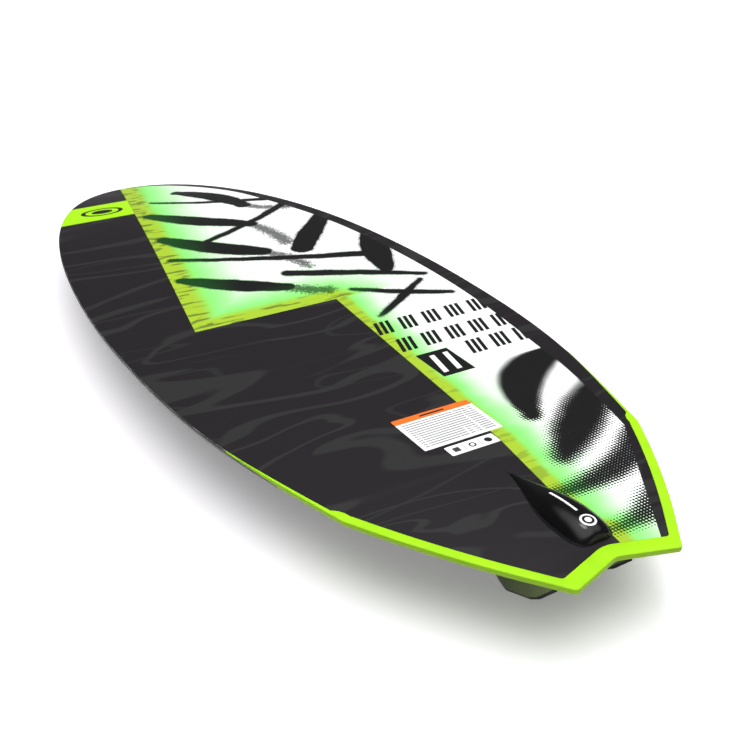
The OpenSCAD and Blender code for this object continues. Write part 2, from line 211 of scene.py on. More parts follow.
NOTCH_ANGLES = list(np.linspace(EDGE_ANGLE, math.pi, 7))
LAST = LAST_SIDE + len(TIP_ANGLES) + len(NOTCH_ANGLES)


def plan(k, a, b):
    """The outline at station k, moved in by a at the sides and by b at the tail edge."""
    if k <= LAST_SIDE:
        point, normal = SIDE_POINTS[k]
        return point - a * normal
    k -= LAST_SIDE + 1
    if k < len(TIP_ANGLES):
        det = TIP_DIR[0] * EDGE_DIR[1] - TIP_DIR[1] * EDGE_DIR[0]
        ia = a + TIP_R
        ib = b + TIP_R
        corner = np.array([ib * TIP_DIR[1] - ia * EDGE_DIR[1], ia * EDGE_DIR[0] - ib * TIP_DIR[0]]) / det
        return TIP + corner + TIP_R * np.array([math.cos(TIP_ANGLES[k]), math.sin(TIP_ANGLES[k])])
    angle = NOTCH_ANGLES[k - len(TIP_ANGLES)]
    centre = np.array([NOTCH_DEPTH + NOTCH_R / EDGE_DIR[0], 0.0])
    return centre - (NOTCH_R + b) * np.array([math.cos(angle), math.sin(angle)])


def station_x(k):
    return SIDE_POINTS[min(k, LAST_SIDE)][0][0]


def band(x):
    """Width of the bumper's top face at the sides: it widens at a step."""
    wide = smooth((STEP_FRONT - x) / (STEP_FRONT - STEP_REAR))
    growth = np.clip((LAP_FRONT - x) / (LAP_FRONT - STEP_FRONT), 0, 1)
    thin = SHEET_INSET + (THIN_BAND - SHEET_INSET) * growth
    return thin + (BAND_W - thin) * wide


def loop(inset, height):
    """A closed loop round the board: inset(k) gives (side, tail) insets, height(x, side inset) gives z."""
    left = []
    for k in range(LAST + 1):
        a, b = inset(k)
        x, y = plan(k, a, b)
        left.append((x, y if 0 < k < LAST else 0.0, height(x, a)))
    right = [(x, -y, z) for x, y, z in left[LAST - 1 : 0 : -1]]
    return np.array(left + right)


# ---- Mesh builders ----


def make_piece(name, points, faces, body, nodes=(), slot=None, sharp=40):
    """A smooth-shaded mesh in the shared frame that rides on a body and stands for CAD nodes."""
    mesh = bpy.data.meshes.new(name)
    mesh.from_pydata([tuple(p) for p in to_frame(points)], [], [tuple(f) for f in faces])
    mesh.validate()
    mesh.update()
    mesh.shade_smooth()
    mesh.set_sharp_from_angle(angle=math.radians(sharp))
    piece = bpy.data.objects.new(name, mesh)
    bpy.context.scene.collection.objects.link(piece)
    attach(piece, body)
    if nodes:
        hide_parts(*nodes)
    return piece


def strip(first, second, n):
    """Quads between two closed loops of n points."""
    return [(first + i, first + (i + 1) % n, second + (i + 1) % n, second + i) for i in range(n)]


def fill_rows(first, n, flip):
    """Fills a board-shaped loop with rows across it, and one face for the two tail lobes."""

    def left(k):
        return first + k

    def right(k):
        return first + (n - k) % n

    faces = [(left(k), left(k + 1), right(k + 1), right(k)) for k in range(1, LAST_SIDE)]
    faces.append((left(0), left(1), right(1)))
    lobes = [left(k) for k in range(LAST_SIDE, LAST + 1)]
    lobes += [right(k) for k in range(LAST - 1, LAST_SIDE - 1, -1)]
    faces.append(tuple(lobes))
    return [f[::-1] for f in faces] if flip else faces


def board_body(name, loops, nodes, slot):
    """A closed body from loops that run over its top rim, down its side and under it."""
    n = len(loops[0])
    faces = fill_rows(0, n, False)
    for i in range(len(loops) - 1):
        faces += [f[::-1] for f in strip(i * n, (i + 1) * n, n)]
    faces += fill_rows((len(loops) - 1) * n, n, True)
    return make_piece(name, np.concatenate(loops), faces, "board", nodes, slot)


def swept_body(name, sections, nodes, slot, sharp=40):
    """A closed body from a row of sections, each a closed loop of points."""
    m = len(sections[0])
    faces = []
    for i in range(len(sections) - 1):
        for j in range(m):
            a, b = i * m + j, i * m + (j + 1) % m
            faces.append((a, b, b + m, a + m))
    faces.append(tuple(range(m - 1, -1, -1)))
    faces.append(tuple(range((len(sections) - 1) * m, len(sections) * m)))
    return make_piece(name, np.concatenate(sections), faces, "board", nodes, slot, sharp)


def grid_shell(name, top, bottom, nodes, slot):
    """A closed body between two grids of points of the same size."""
    rows, cols = top.shape[:2]
    size = rows * cols

    def at(i, j, s):
        return s * size + i * cols + j

    faces = []
    for i in range(rows - 1):
        for j in range(cols - 1):
            faces.append((at(i, j, 0), at(i + 1, j, 0), at(i + 1, j + 1, 0), at(i, j + 1, 0)))
            faces.append((at(i, j, 1), at(i, j + 1, 1), at(i + 1, j + 1, 1), at(i + 1, j, 1)))
    rim = [(i, 0) for i in range(rows - 1)] + [(rows - 1, j) for j in range(cols - 1)]
    rim += [(i, cols - 1) for i in range(rows - 1, 0, -1)] + [(0, j) for j in range(cols - 1, 0, -1)]
    for here, there in zip(rim, rim[1:] + rim[:1]):
        faces.append((at(*here, 0), at(*here, 1), at(*there, 1), at(*there, 0)))
    points = np.concatenate([top.reshape(-1, 3), bottom.reshape(-1, 3)])
    return make_piece(name, points, faces, "board", nodes, slot)


def rounded(corners, radius, steps=6):
    """A closed outline with each corner rounded by a quadratic curve that starts radius away."""
    corners = [np.array(c, float) for c in corners]
    points = []
    for i, here in enumerate(corners):
        before, after = corners[i - 1], corners[(i + 1) % len(corners)]
        r = radius[i] if isinstance(radius, (list, tuple)) else radius
        start = here + (before - here) * min(0.45, r / np.hypot(*(before - here)))
        end = here + (after - here) * min(0.45, r / np.hypot(*(after - here)))
        for t in np.linspace(0, 1, steps + 1):
            points.append((1 - t) ** 2 * start + 2 * t * (1 - t) * here + t * t * end)
    return np.array(points)


def stacked(rings):
    """Faces and points of a closed body made of loops of the same count, filled at both ends."""
    n = len(rings[0])
    faces = []
    for i in range(len(rings) - 1):
        faces += strip(i * n, (i + 1) * n, n)
    faces.append(tuple(range(n - 1, -1, -1)))
    faces.append(tuple(range((len(rings) - 1) * n, len(rings) * n)))
    return np.concatenate(rings), faces


def cut(piece, points, faces):
    """Cuts a closed shape out of a piece."""
    mesh = bpy.data.meshes.new("cutter")
    mesh.from_pydata([tuple(p) for p in to_frame(points)], [], faces)
    tool = bpy.data.objects.new("cutter", mesh)
    bpy.context.scene.collection.objects.link(tool)
    modifier = piece.modifiers.new("cut", "BOOLEAN")
    modifier.operation = "DIFFERENCE"
    modifier.solver = "EXACT"
    modifier.object = tool
    bpy.context.view_layer.update()
    result = bpy.data.meshes.new_from_object(piece.evaluated_get(bpy.context.evaluated_depsgraph_get()))
    piece.modifiers.clear()
    piece.data = result
    bpy.data.objects.remove(tool)


# ---- Deck, base, rail and bumper ----


def sheet_inset(extra):
    def at(k):
        side = band(station_x(k))
        tail = TAIL_BAND if k > LAST_SIDE else side
        return side + BOND + extra, tail + BOND + extra

    return at


def base_rim(k):
    return RAIL_W + BOND, RAIL_W + TAIL_EXTRA + BOND


def base_flat(k):
    """Insets of the line where the bevel meets the flat base."""
    x = station_x(k)
    w = max(RAIL_W + 3, (side_z(x) - base_z(x)) / BEVEL)
    return w, w + TAIL_EXTRA


def make_topsheet():
    loops = [
        loop(sheet_inset(0.35), lambda x, a: deck_z(x)),
        loop(sheet_inset(0.1), lambda x, a: deck_z(x) - 0.08),
        loop(sheet_inset(0.0), lambda x, a: deck_z(x) - 0.3),
        loop(sheet_inset(0.0), lambda x, a: deck_z(x) - SHEET_T),
    ]
    return board_body("deck_sheet", loops, ["topsheet"], "deck_print")


def make_base():
    """The base sheet, with an opening for each fin block."""
    loops = [
        loop(base_flat, lambda x, a: base_z(x) + SHEET_T),
        loop(base_rim, lambda x, a: under_z(x, RAIL_W) + SHEET_T),
        loop(base_rim, lambda x, a: under_z(x, RAIL_W)),
        loop(base_flat, lambda x, a: base_z(x)),
    ]
    piece = board_body("running_base", loops, ["base_sheet"], "base_print")
    x0 = FOOT_MID - BLOCK_LEN / 2
    x1 = FOOT_MID + BLOCK_LEN / 2
    for middle in (FIN_Y, -FIN_Y):
        y0 = middle - BLOCK_W / 2
        y1 = middle + BLOCK_W / 2
        ring = [(x0, y0), (x1, y0), (x1, y1), (x0, y1)]
        rings = [np.array([(x, y, z) for x, y in ring]) for z in (-TAIL_T - 1, -TAIL_T + 3)]
        cut(piece, *stacked(rings))
    return piece


def edge_section(k, mirror, profile):
    """A section of the rail or bumper: profile holds (side inset, tail inset, height function)."""
    section = []
    for a, b, height in profile:
        x, y = plan(k, a, b)
        section.append((x, mirror * y, height(x)))
    return section


def lower_profile(x0):
    """The part of the section below the upright side, from the outside in."""
    flat = min(RAIL_W - 2, (side_z(x0) - base_z(x0)) / BEVEL)
    profile = []
    for inset in (0.9, flat * 0.35, flat * 0.7, flat, RAIL_W):
        extra = TAIL_EXTRA if inset >= RAIL_W - 2 else 0
        profile.append((inset, inset + extra, lambda x, a=inset: under_z(x, a)))
    return profile


def rail_profile(k):
    x0 = station_x(k)
    top = lap_z if lapped(x0) else under_deck_z
    return [
        (RAIL_W, RAIL_W, top),
        (SHEET_INSET, SHEET_INSET, top),
        (0.25, 0.25, lambda x: top(x) - 0.12),
        (0.0, 0.0, lambda x: top(x) - 0.5),
        (0.0, 0.0, lambda x: side_z(x) + min(0.6, 0.4 * (top(x) - side_z(x)))),
        (0.2, 0.2, lambda x: side_z(x) - 0.05),
    ] + lower_profile(x0)


def bumper_profile(k):
    x0 = station_x(k)
    w = float(band(x0))
    wt = TAIL_BAND if k > LAST_SIDE else w
    profile = [
        (RAIL_W, RAIL_W + TAIL_EXTRA, under_deck_z),
        (w, wt, under_deck_z),
        (w, wt, lambda x: deck_z(x) - 0.25),
        (w - 0.12, wt - 0.12, lambda x: deck_z(x) - 0.07),
        (w - 0.35, wt - 0.35, deck_z),
        (min(1.5, w * 0.4), 1.5, deck_z),
        (0.6, 0.6, lambda x: deck_z(x) - 0.22),
        (0.15, 0.15, lambda x: deck_z(x) - 0.75),
        (0.0, 0.0, lambda x: deck_z(x) - 1.5),
    ]
    if lapped(x0):
        thin = [(0.0, 0.0, lambda x: lap_z(x) + BOND + 0.25)]
        thin += [(a, a, lambda x: lap_z(x) + BOND) for a in (0.2, 0.9, 7.0, 14.0, RAIL_W - 2, RAIL_W)]
        return profile + thin
    foot = [(0.0, 0.0, lambda x: side_z(x) + 0.9), (0.25, 0.25, lambda x: side_z(x) + 0.05)]
    return profile + foot + lower_profile(x0)


def make_rail():
    ks = [k for k in range(LAST_SIDE + 1) if station_x(k) >= LAP_REAR]
    sections = [edge_section(k, -1, rail_profile(k)) for k in reversed(ks[1:])]
    sections += [edge_section(k, 1, rail_profile(k)) for k in ks]
    return swept_body("side_rail", [np.array(s) for s in sections], ["front_rail"], "rail_black")


def make_bumper():
    ks = [k for k in range(LAST + 1) if station_x(k) <= LAP_FRONT]
    sections = [edge_section(k, 1, bumper_profile(k)) for k in ks]
    sections += [edge_section(k, -1, bumper_profile(k)) for k in reversed(ks[:-1])]
    return swept_body("soft_bumper", [np.array(s) for s in sections], ["tail_bumper"], "bumper_lime", 50)


# ---- Ridge and labels ----


def teardrop(u):
    """Share of the ridge's full width and height at u, from 0 at its rear end to 1 at its point."""
    rear = np.cbrt(np.clip(1 - np.clip(1 - 4 * u, 0, 1) ** 3, 0, 1))
    return np.where(u < 0.25, rear, (1 + np.cos(np.radians(240) * (u - 0.25))) / 2)


def ridge_grid(u0, u1, reach, lift):
    """Points of the ridge's surface; its rear end is swept back with the swallow."""
    u = u0 + (u1 - u0) * np.linspace(0, 1, 61)[:, None] ** 1.7
    w = np.sin(np.linspace(-math.pi / 2, math.pi / 2, 41))[None, :] * reach
    f = teardrop(u)
    y = RIDGE_HALF * f * w
    x = RIDGE_X + RIDGE_LEN * u - RIDGE_SWEEP * (y / RIDGE_HALF) ** 2 * (1 - u) ** 2
    return np.stack([x, y, RIDGE_H * f * (1 - np.abs(w) ** 3) + lift], axis=-1)


def make_ridge():
    top = ridge_grid(0.002, 0.95, 1.0, 0.2)
    bottom = top * [1, 1, 0]
    return grid_shell("deck_ridge", top, bottom, ["tail_ridge"], "ridge_black")


def make_cover():
    """The domed sticker: the ridge's surface lifted by its thickness, rounded down at its edge."""
    low = ridge_grid(0.01, 0.88, 0.94, 0.2)
    rows, cols = low.shape[:2]
    i = np.minimum(np.arange(rows), np.arange(rows)[::-1])[:, None]
    j = np.minimum(np.arange(cols), np.arange(cols)[::-1])[None, :]
    inner = np.clip(np.minimum(i / 3.0, j / 4.0), 0, 1)
    edge_t = 0.12
    top = low.copy()
    top[..., 2] += edge_t + (COVER_T - edge_t) * np.sqrt(1 - (1 - inner) ** 2)
    return grid_shell("ridge_sticker", top, low, ["ridge_cover"], "cover_gloss")


def make_label(name, size, node):
    x0, x1, half = size
    outline = rounded([(x0, -half), (x1, -half), (x1, half), (x0, half)], 2.0)
    inward = outline.mean(axis=0) - outline
    inward /= np.hypot(*inward.T)[:, None]
    rings = []
    for z, shrink in ((0.0, 0.0), (LABEL_T * 0.6, 0.0), (LABEL_T, 0.12)):
        ring = outline + inward * shrink
        rings.append(np.column_stack([ring, np.full(len(ring), z)]))
    points, faces = stacked(rings)
    return make_piece(name, points, faces, "board", [node], "label_white")


# ---- Fins ----

# The plate seen from the side: x, and z from the foot's underside
FIN_SHAPE = [
    (FOOT_X + 3, 1),
    (FOOT_X - 19, -14),
    (66, -39),
    (79, -48),
    (117, -FIN_DEPTH),
    (132, 6 - FIN_DEPTH),
    (FOOT_X + FOOT_LEN - 10, 1),
]
FIN_RADII = [1.5, 2.5, 2.5, 2.5, 3.5, 3.5, 2]
FIN_MIDDLE = np.array([108.0, -22.0])
# From the rim inwards: how far towards the middle, and the share of the full thickness
FIN_LAYERS = [(0.0, 0.16), (0.015, 0.34), (0.07, 0.56), (0.12, 0.78), (0.2, 0.94), (0.32, 1.0)]
# The dark edge lies between these loops of the plate
EDGE_LOOPS = (3, 8)
SCREW_HOLE_R = 2.3
HEAD_HOLE_R = 3.9
HEAD_HOLE_DEPTH = 2.6


def fin_plate(side):
    """A foil plate: loops of the side view, thin at the edge and thick inside."""
    outline = rounded(FIN_SHAPE, FIN_RADII)
    rings = []
    for sign, layers in ((-1, FIN_LAYERS[::-1]), (1, FIN_LAYERS)):
        for shrink, thick in layers:
            ring = outline + (FIN_MIDDLE - outline) * shrink
            y = side * FIN_Y + sign * thick * FIN_T / 2
            rings.append(np.column_stack([ring[:, 0], np.full(len(ring), y), FIN_TOP + ring[:, 1]]))
    return stacked(rings)


def fin_foot(side):
    """The foot: a rounded block with its lower edges eased."""
    rings = []
    for z, shrink in ((0.0, 1.2), (0.35, 0.4), (1.2, 0.0), (FOOT_H, 0.0)):
        half_l = FOOT_LEN / 2 - shrink
        half_w = FOOT_W / 2 - shrink
        ring = rounded([(-half_l, -half_w), (half_l, -half_w), (half_l, half_w), (-half_l, half_w)], 8.0)
        rings.append(np.column_stack([ring + [FOOT_MID, side * FIN_Y], np.full(len(ring), FIN_TOP + z)]))
    return stacked(rings)


def cut_screw_hole(foot, x, y):
    """A counterbored hole through the foot; its heights are from the foot's underside."""
    angle = np.linspace(0, 2 * math.pi, 33)[:-1]
    steps = [
        (-1, HEAD_HOLE_R),
        (HEAD_HOLE_DEPTH, HEAD_HOLE_R),
        (HEAD_HOLE_DEPTH, SCREW_HOLE_R),
        (FOOT_H + 1, SCREW_HOLE_R),
    ]
    rings = []
    for z, r in steps:
        heights = np.full(len(angle), FIN_TOP + z)
        rings.append(np.column_stack([x + r * np.cos(angle), y + r * np.sin(angle), heights]))
    cut(foot, *stacked(rings))


def make_fin(name, side, body, node):
    foot = make_piece(name, *fin_foot(side), body, [node], "fin_plastic", 35)
    for dx in (-SCREW_GAP_X / 2, SCREW_GAP_X / 2):
        for dy in (-SCREW_GAP_Y / 2, SCREW_GAP_Y / 2):
            cut_screw_hole(foot, FOOT_MID + dx, side * FIN_Y + dy)
    plate = make_piece(name + "_blade", *fin_plate(side), body, (), "fin_plastic", 35)
    return foot, plate


# ---- Node maths ----


class Field:
    """A number that varies over a surface, held as a node socket, with ordinary arithmetic."""

    def __init__(self, tree, socket):
        self.tree = tree
        self.socket = socket

    def math(self, operation, *others, clamp=False):
        node = self.tree.nodes.new("ShaderNodeMath")
        node.operation = operation
        node.use_clamp = clamp
        for i, value in enumerate((self, *others)):
            if isinstance(value, Field):
                self.tree.links.new(value.socket, node.inputs[i])
            else:
                node.inputs[i].default_value = value
        return Field(self.tree, node.outputs[0])

    def __add__(self, other):
        return self.math("ADD", other)

    __radd__ = __add__

    def __sub__(self, other):
        return self.math("SUBTRACT", other)

    def __rsub__(self, other):
        return (self * -1.0) + other

    def __mul__(self, other):
        return self.math("MULTIPLY", other)

    __rmul__ = __mul__

    def __truediv__(self, other):
        return self.math("DIVIDE", other)

    def least(self, other):
        return self.math("MINIMUM", other)

    def most(self, other):
        return self.math("MAXIMUM", other)

    def power(self, exponent):
        return self.math("POWER", exponent)

    def size(self):
        return self.math("ABSOLUTE")

    def wave(self):
        return self.math("SINE")

    def part(self, period):
        """What is left over after whole periods, from 0 to the period."""
        return (self / period).math("FRACT") * period

    def ramp(self, low, high):
        """0 below low, 1 above high, smooth between; low may be above high."""
        node = self.tree.nodes.new("ShaderNodeMapRange")
        node.interpolation_type = "SMOOTHSTEP"
        self.tree.links.new(self.socket, node.inputs["Value"])
        flip = low > high
        node.inputs["From Min"].default_value = high if flip else low
        node.inputs["From Max"].default_value = low if flip else high
        node.inputs["To Min"].default_value = 1.0 if flip else 0.0
        node.inputs["To Max"].default_value = 0.0 if flip else 1.0
        return Field(self.tree, node.outputs["Result"])

    def within(self, low, high, soft=0.3):
        """1 between low and high, 0 outside."""
        return self.ramp(low - soft, low + soft) * self.ramp(high + soft, high - soft)


def greatest(fields):
    """The greatest of several fields."""
    return reduce(Field.most, fields)


class Look:
    """A material with one Principled shader, and fields over the object's own coordinates."""

    def __init__(self, name, **constants):
        self.material = bpy.data.materials.new(name)
        self.material.use_nodes = True
        self.tree = self.material.node_tree
        self.shader = self.tree.nodes["Principled BSDF"]
        for key, value in constants.items():
            self.shader.inputs[key.replace("_", " ")].default_value = value
        self.coordinates = self.tree.nodes.new("ShaderNodeTexCoord").outputs["Object"]

    def axes(self):
        """x from the tail tips and y, in millimetres."""
        split = self.tree.nodes.new("ShaderNodeSeparateXYZ")
        self.tree.links.new(self.coordinates, split.inputs[0])
        x = Field(self.tree, split.outputs[0]) * 1000.0 + BOARD_LEN / 2
        return x, Field(self.tree, split.outputs[1]) * 1000.0

    def height(self):
        """z from the deck, in millimetres."""
        split = self.tree.nodes.new("ShaderNodeSeparateXYZ")
        self.tree.links.new(self.coordinates, split.inputs[0])
        return Field(self.tree, split.outputs[2]) * 1000.0 - DECK_H

    def noise(self, scale, detail=2.0, stretch=(1, 1, 1), shift=0.0, warp=0.0):
        """Noise from 0 to 1; scale is in features per metre."""
        mapping = self.tree.nodes.new("ShaderNodeMapping")
        mapping.inputs["Scale"].default_value = stretch
        mapping.inputs["Location"].default_value = (shift, shift, shift)
        self.tree.links.new(self.coordinates, mapping.inputs["Vector"])
        node = self.tree.nodes.new("ShaderNodeTexNoise")
        node.inputs["Scale"].default_value = scale
        node.inputs["Detail"].default_value = detail
        node.inputs["Distortion"].default_value = warp
        self.tree.links.new(mapping.outputs[0], node.inputs["Vector"])
        return Field(self.tree, node.outputs["Fac"])

    def mix(self, amount, a, b):
        """Colour a where amount is 0 and b where it is 1; a and b are colours or sockets."""
        node = self.tree.nodes.new("ShaderNodeMix")
        node.data_type = "RGBA"
        self.tree.links.new(amount.socket, node.inputs[0])
        for socket, value in ((node.inputs[6], a), (node.inputs[7], b)):
            if isinstance(value, tuple):
                socket.default_value = (*value, 1.0)
            else:
                self.tree.links.new(value, socket)
        return node.outputs[2]

    def colour(self, socket):
        self.tree.links.new(socket, self.shader.inputs["Base Color"])

    def roughness(self, field):
        self.tree.links.new(field.socket, self.shader.inputs["Roughness"])

    def bump(self, field, distance, strength=1.0):
        node = self.tree.nodes.new("ShaderNodeBump")
        node.inputs["Distance"].default_value = distance
        node.inputs["Strength"].default_value = strength
        self.tree.links.new(field.socket, node.inputs["Height"])
        self.tree.links.new(node.outputs[0], self.shader.inputs["Normal"])

    def dot(self, point, x, y, offset):
        node = self.tree.nodes.new("ShaderNodeVectorMath")
        node.operation = "DOT_PRODUCT"
        self.tree.links.new(point, node.inputs[0])
        node.inputs[1].default_value = (x, y, 0)
        return Field(self.tree, node.outputs["Value"]) + offset

    def distance_to(self, point, stroke):
        """Distance in millimetres outside a bowed brush stroke, negative inside it.

        The stroke runs from its first point past its second to its third, each (x, y, radius).
        """
        a, b, c = (np.array(v, float) for v in stroke)
        chord = c[:2] - a[:2]
        length = float(np.hypot(*chord))
        dx, dy = (float(v) for v in chord / length)
        bow = 4 * float((b[1] - (a[1] + c[1]) / 2) * dx - (b[0] - (a[0] + c[0]) / 2) * dy)
        along = self.dot(point, dx / length, dy / length, -float(a[0] * dx + a[1] * dy) / length)
        across = self.dot(point, -dy, dx, float(a[0] * dy - a[1] * dx))
        t = along.math("ADD", 0.0, clamp=True)
        past = (along - t) * length
        across = across - t * (1.0 - t) * bow
        swell = 2 * float(b[2]) - float(a[2] + c[2]) / 2
        radius = t * (t * float(a[2] + c[2] - 2 * swell) + 2 * float(swell - a[2])) + float(a[2])
        return (past * past + across * across).power(0.5) - radius


def stroke_field(look, point, strokes):
    """Least distance to any of the strokes."""
    return reduce(Field.least, (look.distance_to(point, stroke) for stroke in strokes))


# ---- Colours, as linear values ----


def srgb(r, g, b):
    def linear(v):
        v /= 255
        return v / 12.92 if v <= 0.04045 else ((v + 0.055) / 1.055) ** 2.4

    return tuple(linear(v) for v in (r, g, b))


CHARCOAL = srgb(34, 31, 34)
SMOKE = srgb(49, 50, 50)
INK = srgb(24, 24, 25)
PAPER = srgb(246, 247, 247)
LIME = srgb(164, 226, 14)
# Painted shade: a darker lime that stands for the shade on the bumper's upright sides
SHADED_SIDE_LIME = srgb(125, 168, 20)
STRIP = srgb(160, 192, 50)
OLIVE = srgb(72, 84, 46)
GREEN = srgb(128, 224, 108)
MINT = srgb(200, 246, 196)
DARK_GREEN = srgb(20, 78, 26)
ORANGE = srgb(238, 112, 30)
GREY = srgb(128, 130, 134)

# ---- Deck print ----

SHARP_STROKES = [
    ((1222, -58, 10), (1166, -98, 19), (1082, -122, 13)),
    ((1188, 2, 4), (1136, -76, 7), (1092, -182, 9)),
    ((1110, 32, 12), (1046, -22, 21), (985, -88, 13)),
    ((1072, -206, 9), (1010, -120, 7), (938, 14, 6)),
    ((985, 56, 12), (922, 12, 22), (862, -50, 16)),
    ((978, -222, 10), (908, -160, 18), (842, -108, 17)),
    ((896, 78, 6), (836, -38, 8), (776, -176, 11)),
    ((816, 94, 10), (768, 44, 19), (722, -22, 13)),
    ((836, -226, 18), (780, -200, 22), (706, -174, 10)),
    ((764, -46, 10), (722, -124, 9), (666, -210, 6)),
    ((668, -96, 5), (626, -150, 8), (592, -208, 6)),
    ((652, -196, 4), (614, -146, 7), (572, -84, 4)),
]
SPRAY_STROKES = [
    ((985, -88, 10), (944, -98, 12), (880, -100, 12)),
    ((862, -50, 12), (818, -74, 11), (776, -84, 9)),
    ((722, -22, 10), (702, -40, 12), (684, -66, 11)),
    ((1082, -122, 9), (1052, -146, 10), (1034, -178, 10)),
]
# Halftone shapes: a broad stroke, how soft its edge is, and how solid it prints
BLOBS = [
    (((380, -216, 20), (352, -150, 28), (262, -92, 12)), 12.0, 1.25),
    (((304, -226, 6), (244, -152, 30), (176, -66, 14)), 18.0, 1.15),
    (((176, -168, 20), (132, -92, 20), (126, -18, 10)), 16.0, 1.05),
    (((90, -118, 16), (58, -70, 18), (52, -24, 6)), 16.0, 0.95),
]
DOT_GAP = 5.4
# Rows of bars: rear end, lowest and highest y, height
TEXT_ROWS = [(521, -238, -44, 35), (466, -232, -44, 35), (419, -226, -123, 35)]
TEXT_GROUP = 36.0

# The graphic's outline: a slanted front edge, a cross edge aft of it, and a rear edge with one bend
FRONT_POINT = (1309.0, 14.5)
FRONT_INWARD = (-0.192, -0.981)
CORNER = (650.0, -60.7)
BEND = (239.0, -31.4)
REAR_SLOPES = (0.0714, 0.146)

NOSE_STRIPE = (1144, 1233)
NOSE_MARK = (1188.0, 88.0)
# Rear end, front end, lowest and highest y
SIZE_BLOCK = (387, 450, -105, -60)


def half_width(x):
    """Half width of the deck at x, as an ellipse forward and power curves aft."""
    u = ((x - WIDE_X) / (BOARD_LEN - WIDE_X)).most(0.0)
    forward = (1.0 - u * u).most(0.0).power(0.5) * BOARD_HALF
    v = ((WIDE_X - x) / (WIDE_X - WING[0])).most(0.0).least(1.0)
    tail = (WING[0] - x).most(0.0) * 0.637
    return forward - v.power(1.92) * (BOARD_HALF - WING[1]) - tail


def rear_split(x, y):
    """How far a point lies to the right of the graphic's bent rear edge."""
    forward = (CORNER[0] - x) * REAR_SLOPES[0] + CORNER[1]
    aft = (BEND[0] - x) * REAR_SLOPES[1] + BEND[1]
    return forward.most(aft) - x.ramp(78.0, 56.0) * 15.0 - y


def camouflage(look):
    """Charcoal with pale streaks that lie across the board."""
    flow = look.noise(5.6, 1.4, (1.5, 0.5, 1), 1.9, 0.9)
    ribbons = flow.within(0.53, 0.58, 0.007).most(flow.within(0.38, 0.41, 0.007))
    thin = look.noise(6.0, 1.0, (1.8, 0.35, 1), 7.7, 0.6).within(0.49, 0.505, 0.006)
    return look.mix((ribbons * 0.7).most(thin * 0.5), CHARCOAL, SMOKE)


def nose_stripe(look, x, y, front, ground):
    """The ground with a lime stripe across the nose, and a plain ring and disc on it."""
    dx = x - NOSE_MARK[0]
    dy = y - NOSE_MARK[1]
    reach = (dx * dx + dy * dy * 0.36).power(0.5)
    mark = (reach - 19.0).size().ramp(2.6, 2.0).most(reach.ramp(11.0, 10.4))
    stripe = x.within(*NOSE_STRIPE) * front.ramp(0.3, -0.3)
    return look.mix(stripe, ground, look.mix(mark, LIME, INK))


def glowing_paper(look, depth, soft_depth, wobble, forward):
    """White paper with a green glow towards the graphic's edges, and a lime strip along them."""
    paper = look.mix(soft_depth.ramp(165.0, 40.0), PAPER, MINT)
    paper = look.mix(soft_depth.ramp(105.0, 24.0), paper, GREEN)
    strip_depth = (depth + wobble * 10.0) / (forward * 0.45 + 0.55)
    paper = look.mix(strip_depth.ramp(42.0, 18.0), paper, STRIP)
    ticks = look.noise(60, 2, (1.7, 0.35, 1), 3.1, 0.3).ramp(0.55, 0.6) * strip_depth.ramp(34.0, 22.0)
    return look.mix(ticks * (forward * 0.4 + 0.3), paper, OLIVE)


def brush_ink(look, x, point, grit):
    """Black strokes with slightly uneven edges, and sprayed ones that break into specks."""
    sharp = stroke_field(look, point, SHARP_STROKES)
    spray = stroke_field(look, point, SPRAY_STROKES)
    speck = (grit - 0.5) * 9.0
    line = sharp.ramp(1.3, -1.3).most((sharp + speck).ramp(3.0, 1.0) * 0.55)
    haze = (spray + speck * 4.0).ramp(5.0, -4.0) * 0.85
    return line.most(haze) * x.ramp(560.0, 575.0)


def halftone_ink(look, x, y, point, grit):
    """Large shapes towards the tail, printed as dots that grow together where a shape is solid."""
    step = math.tau / DOT_GAP * math.sqrt(0.5)
    dots = ((x + y) * step).wave() * ((x - y) * step).wave() * 0.5 + 0.5
    cover = greatest(
        stroke_field(look, point, [blob]).ramp(soft, -soft) * solid for blob, soft, solid in BLOBS
    )
    return (cover - dots * 0.9 - grit * 0.15).ramp(-0.04, 0.2) * x.ramp(392.0, 388.0)


def slanted_bars(x, y, row):
    """A row of slanted bars in groups of three, where the real print has words."""
    x0, y0, y1, height = row
    v = (x - x0) / height
    u = (y + v * 10.0 + 400.0).part(TEXT_GROUP)
    bars = greatest(u.within(start, start + 5.5) for start in (1.0, 9.5, 18.0))
    return bars * v.within(0.0, 1.0, 0.02) * y.within(y0, y1)


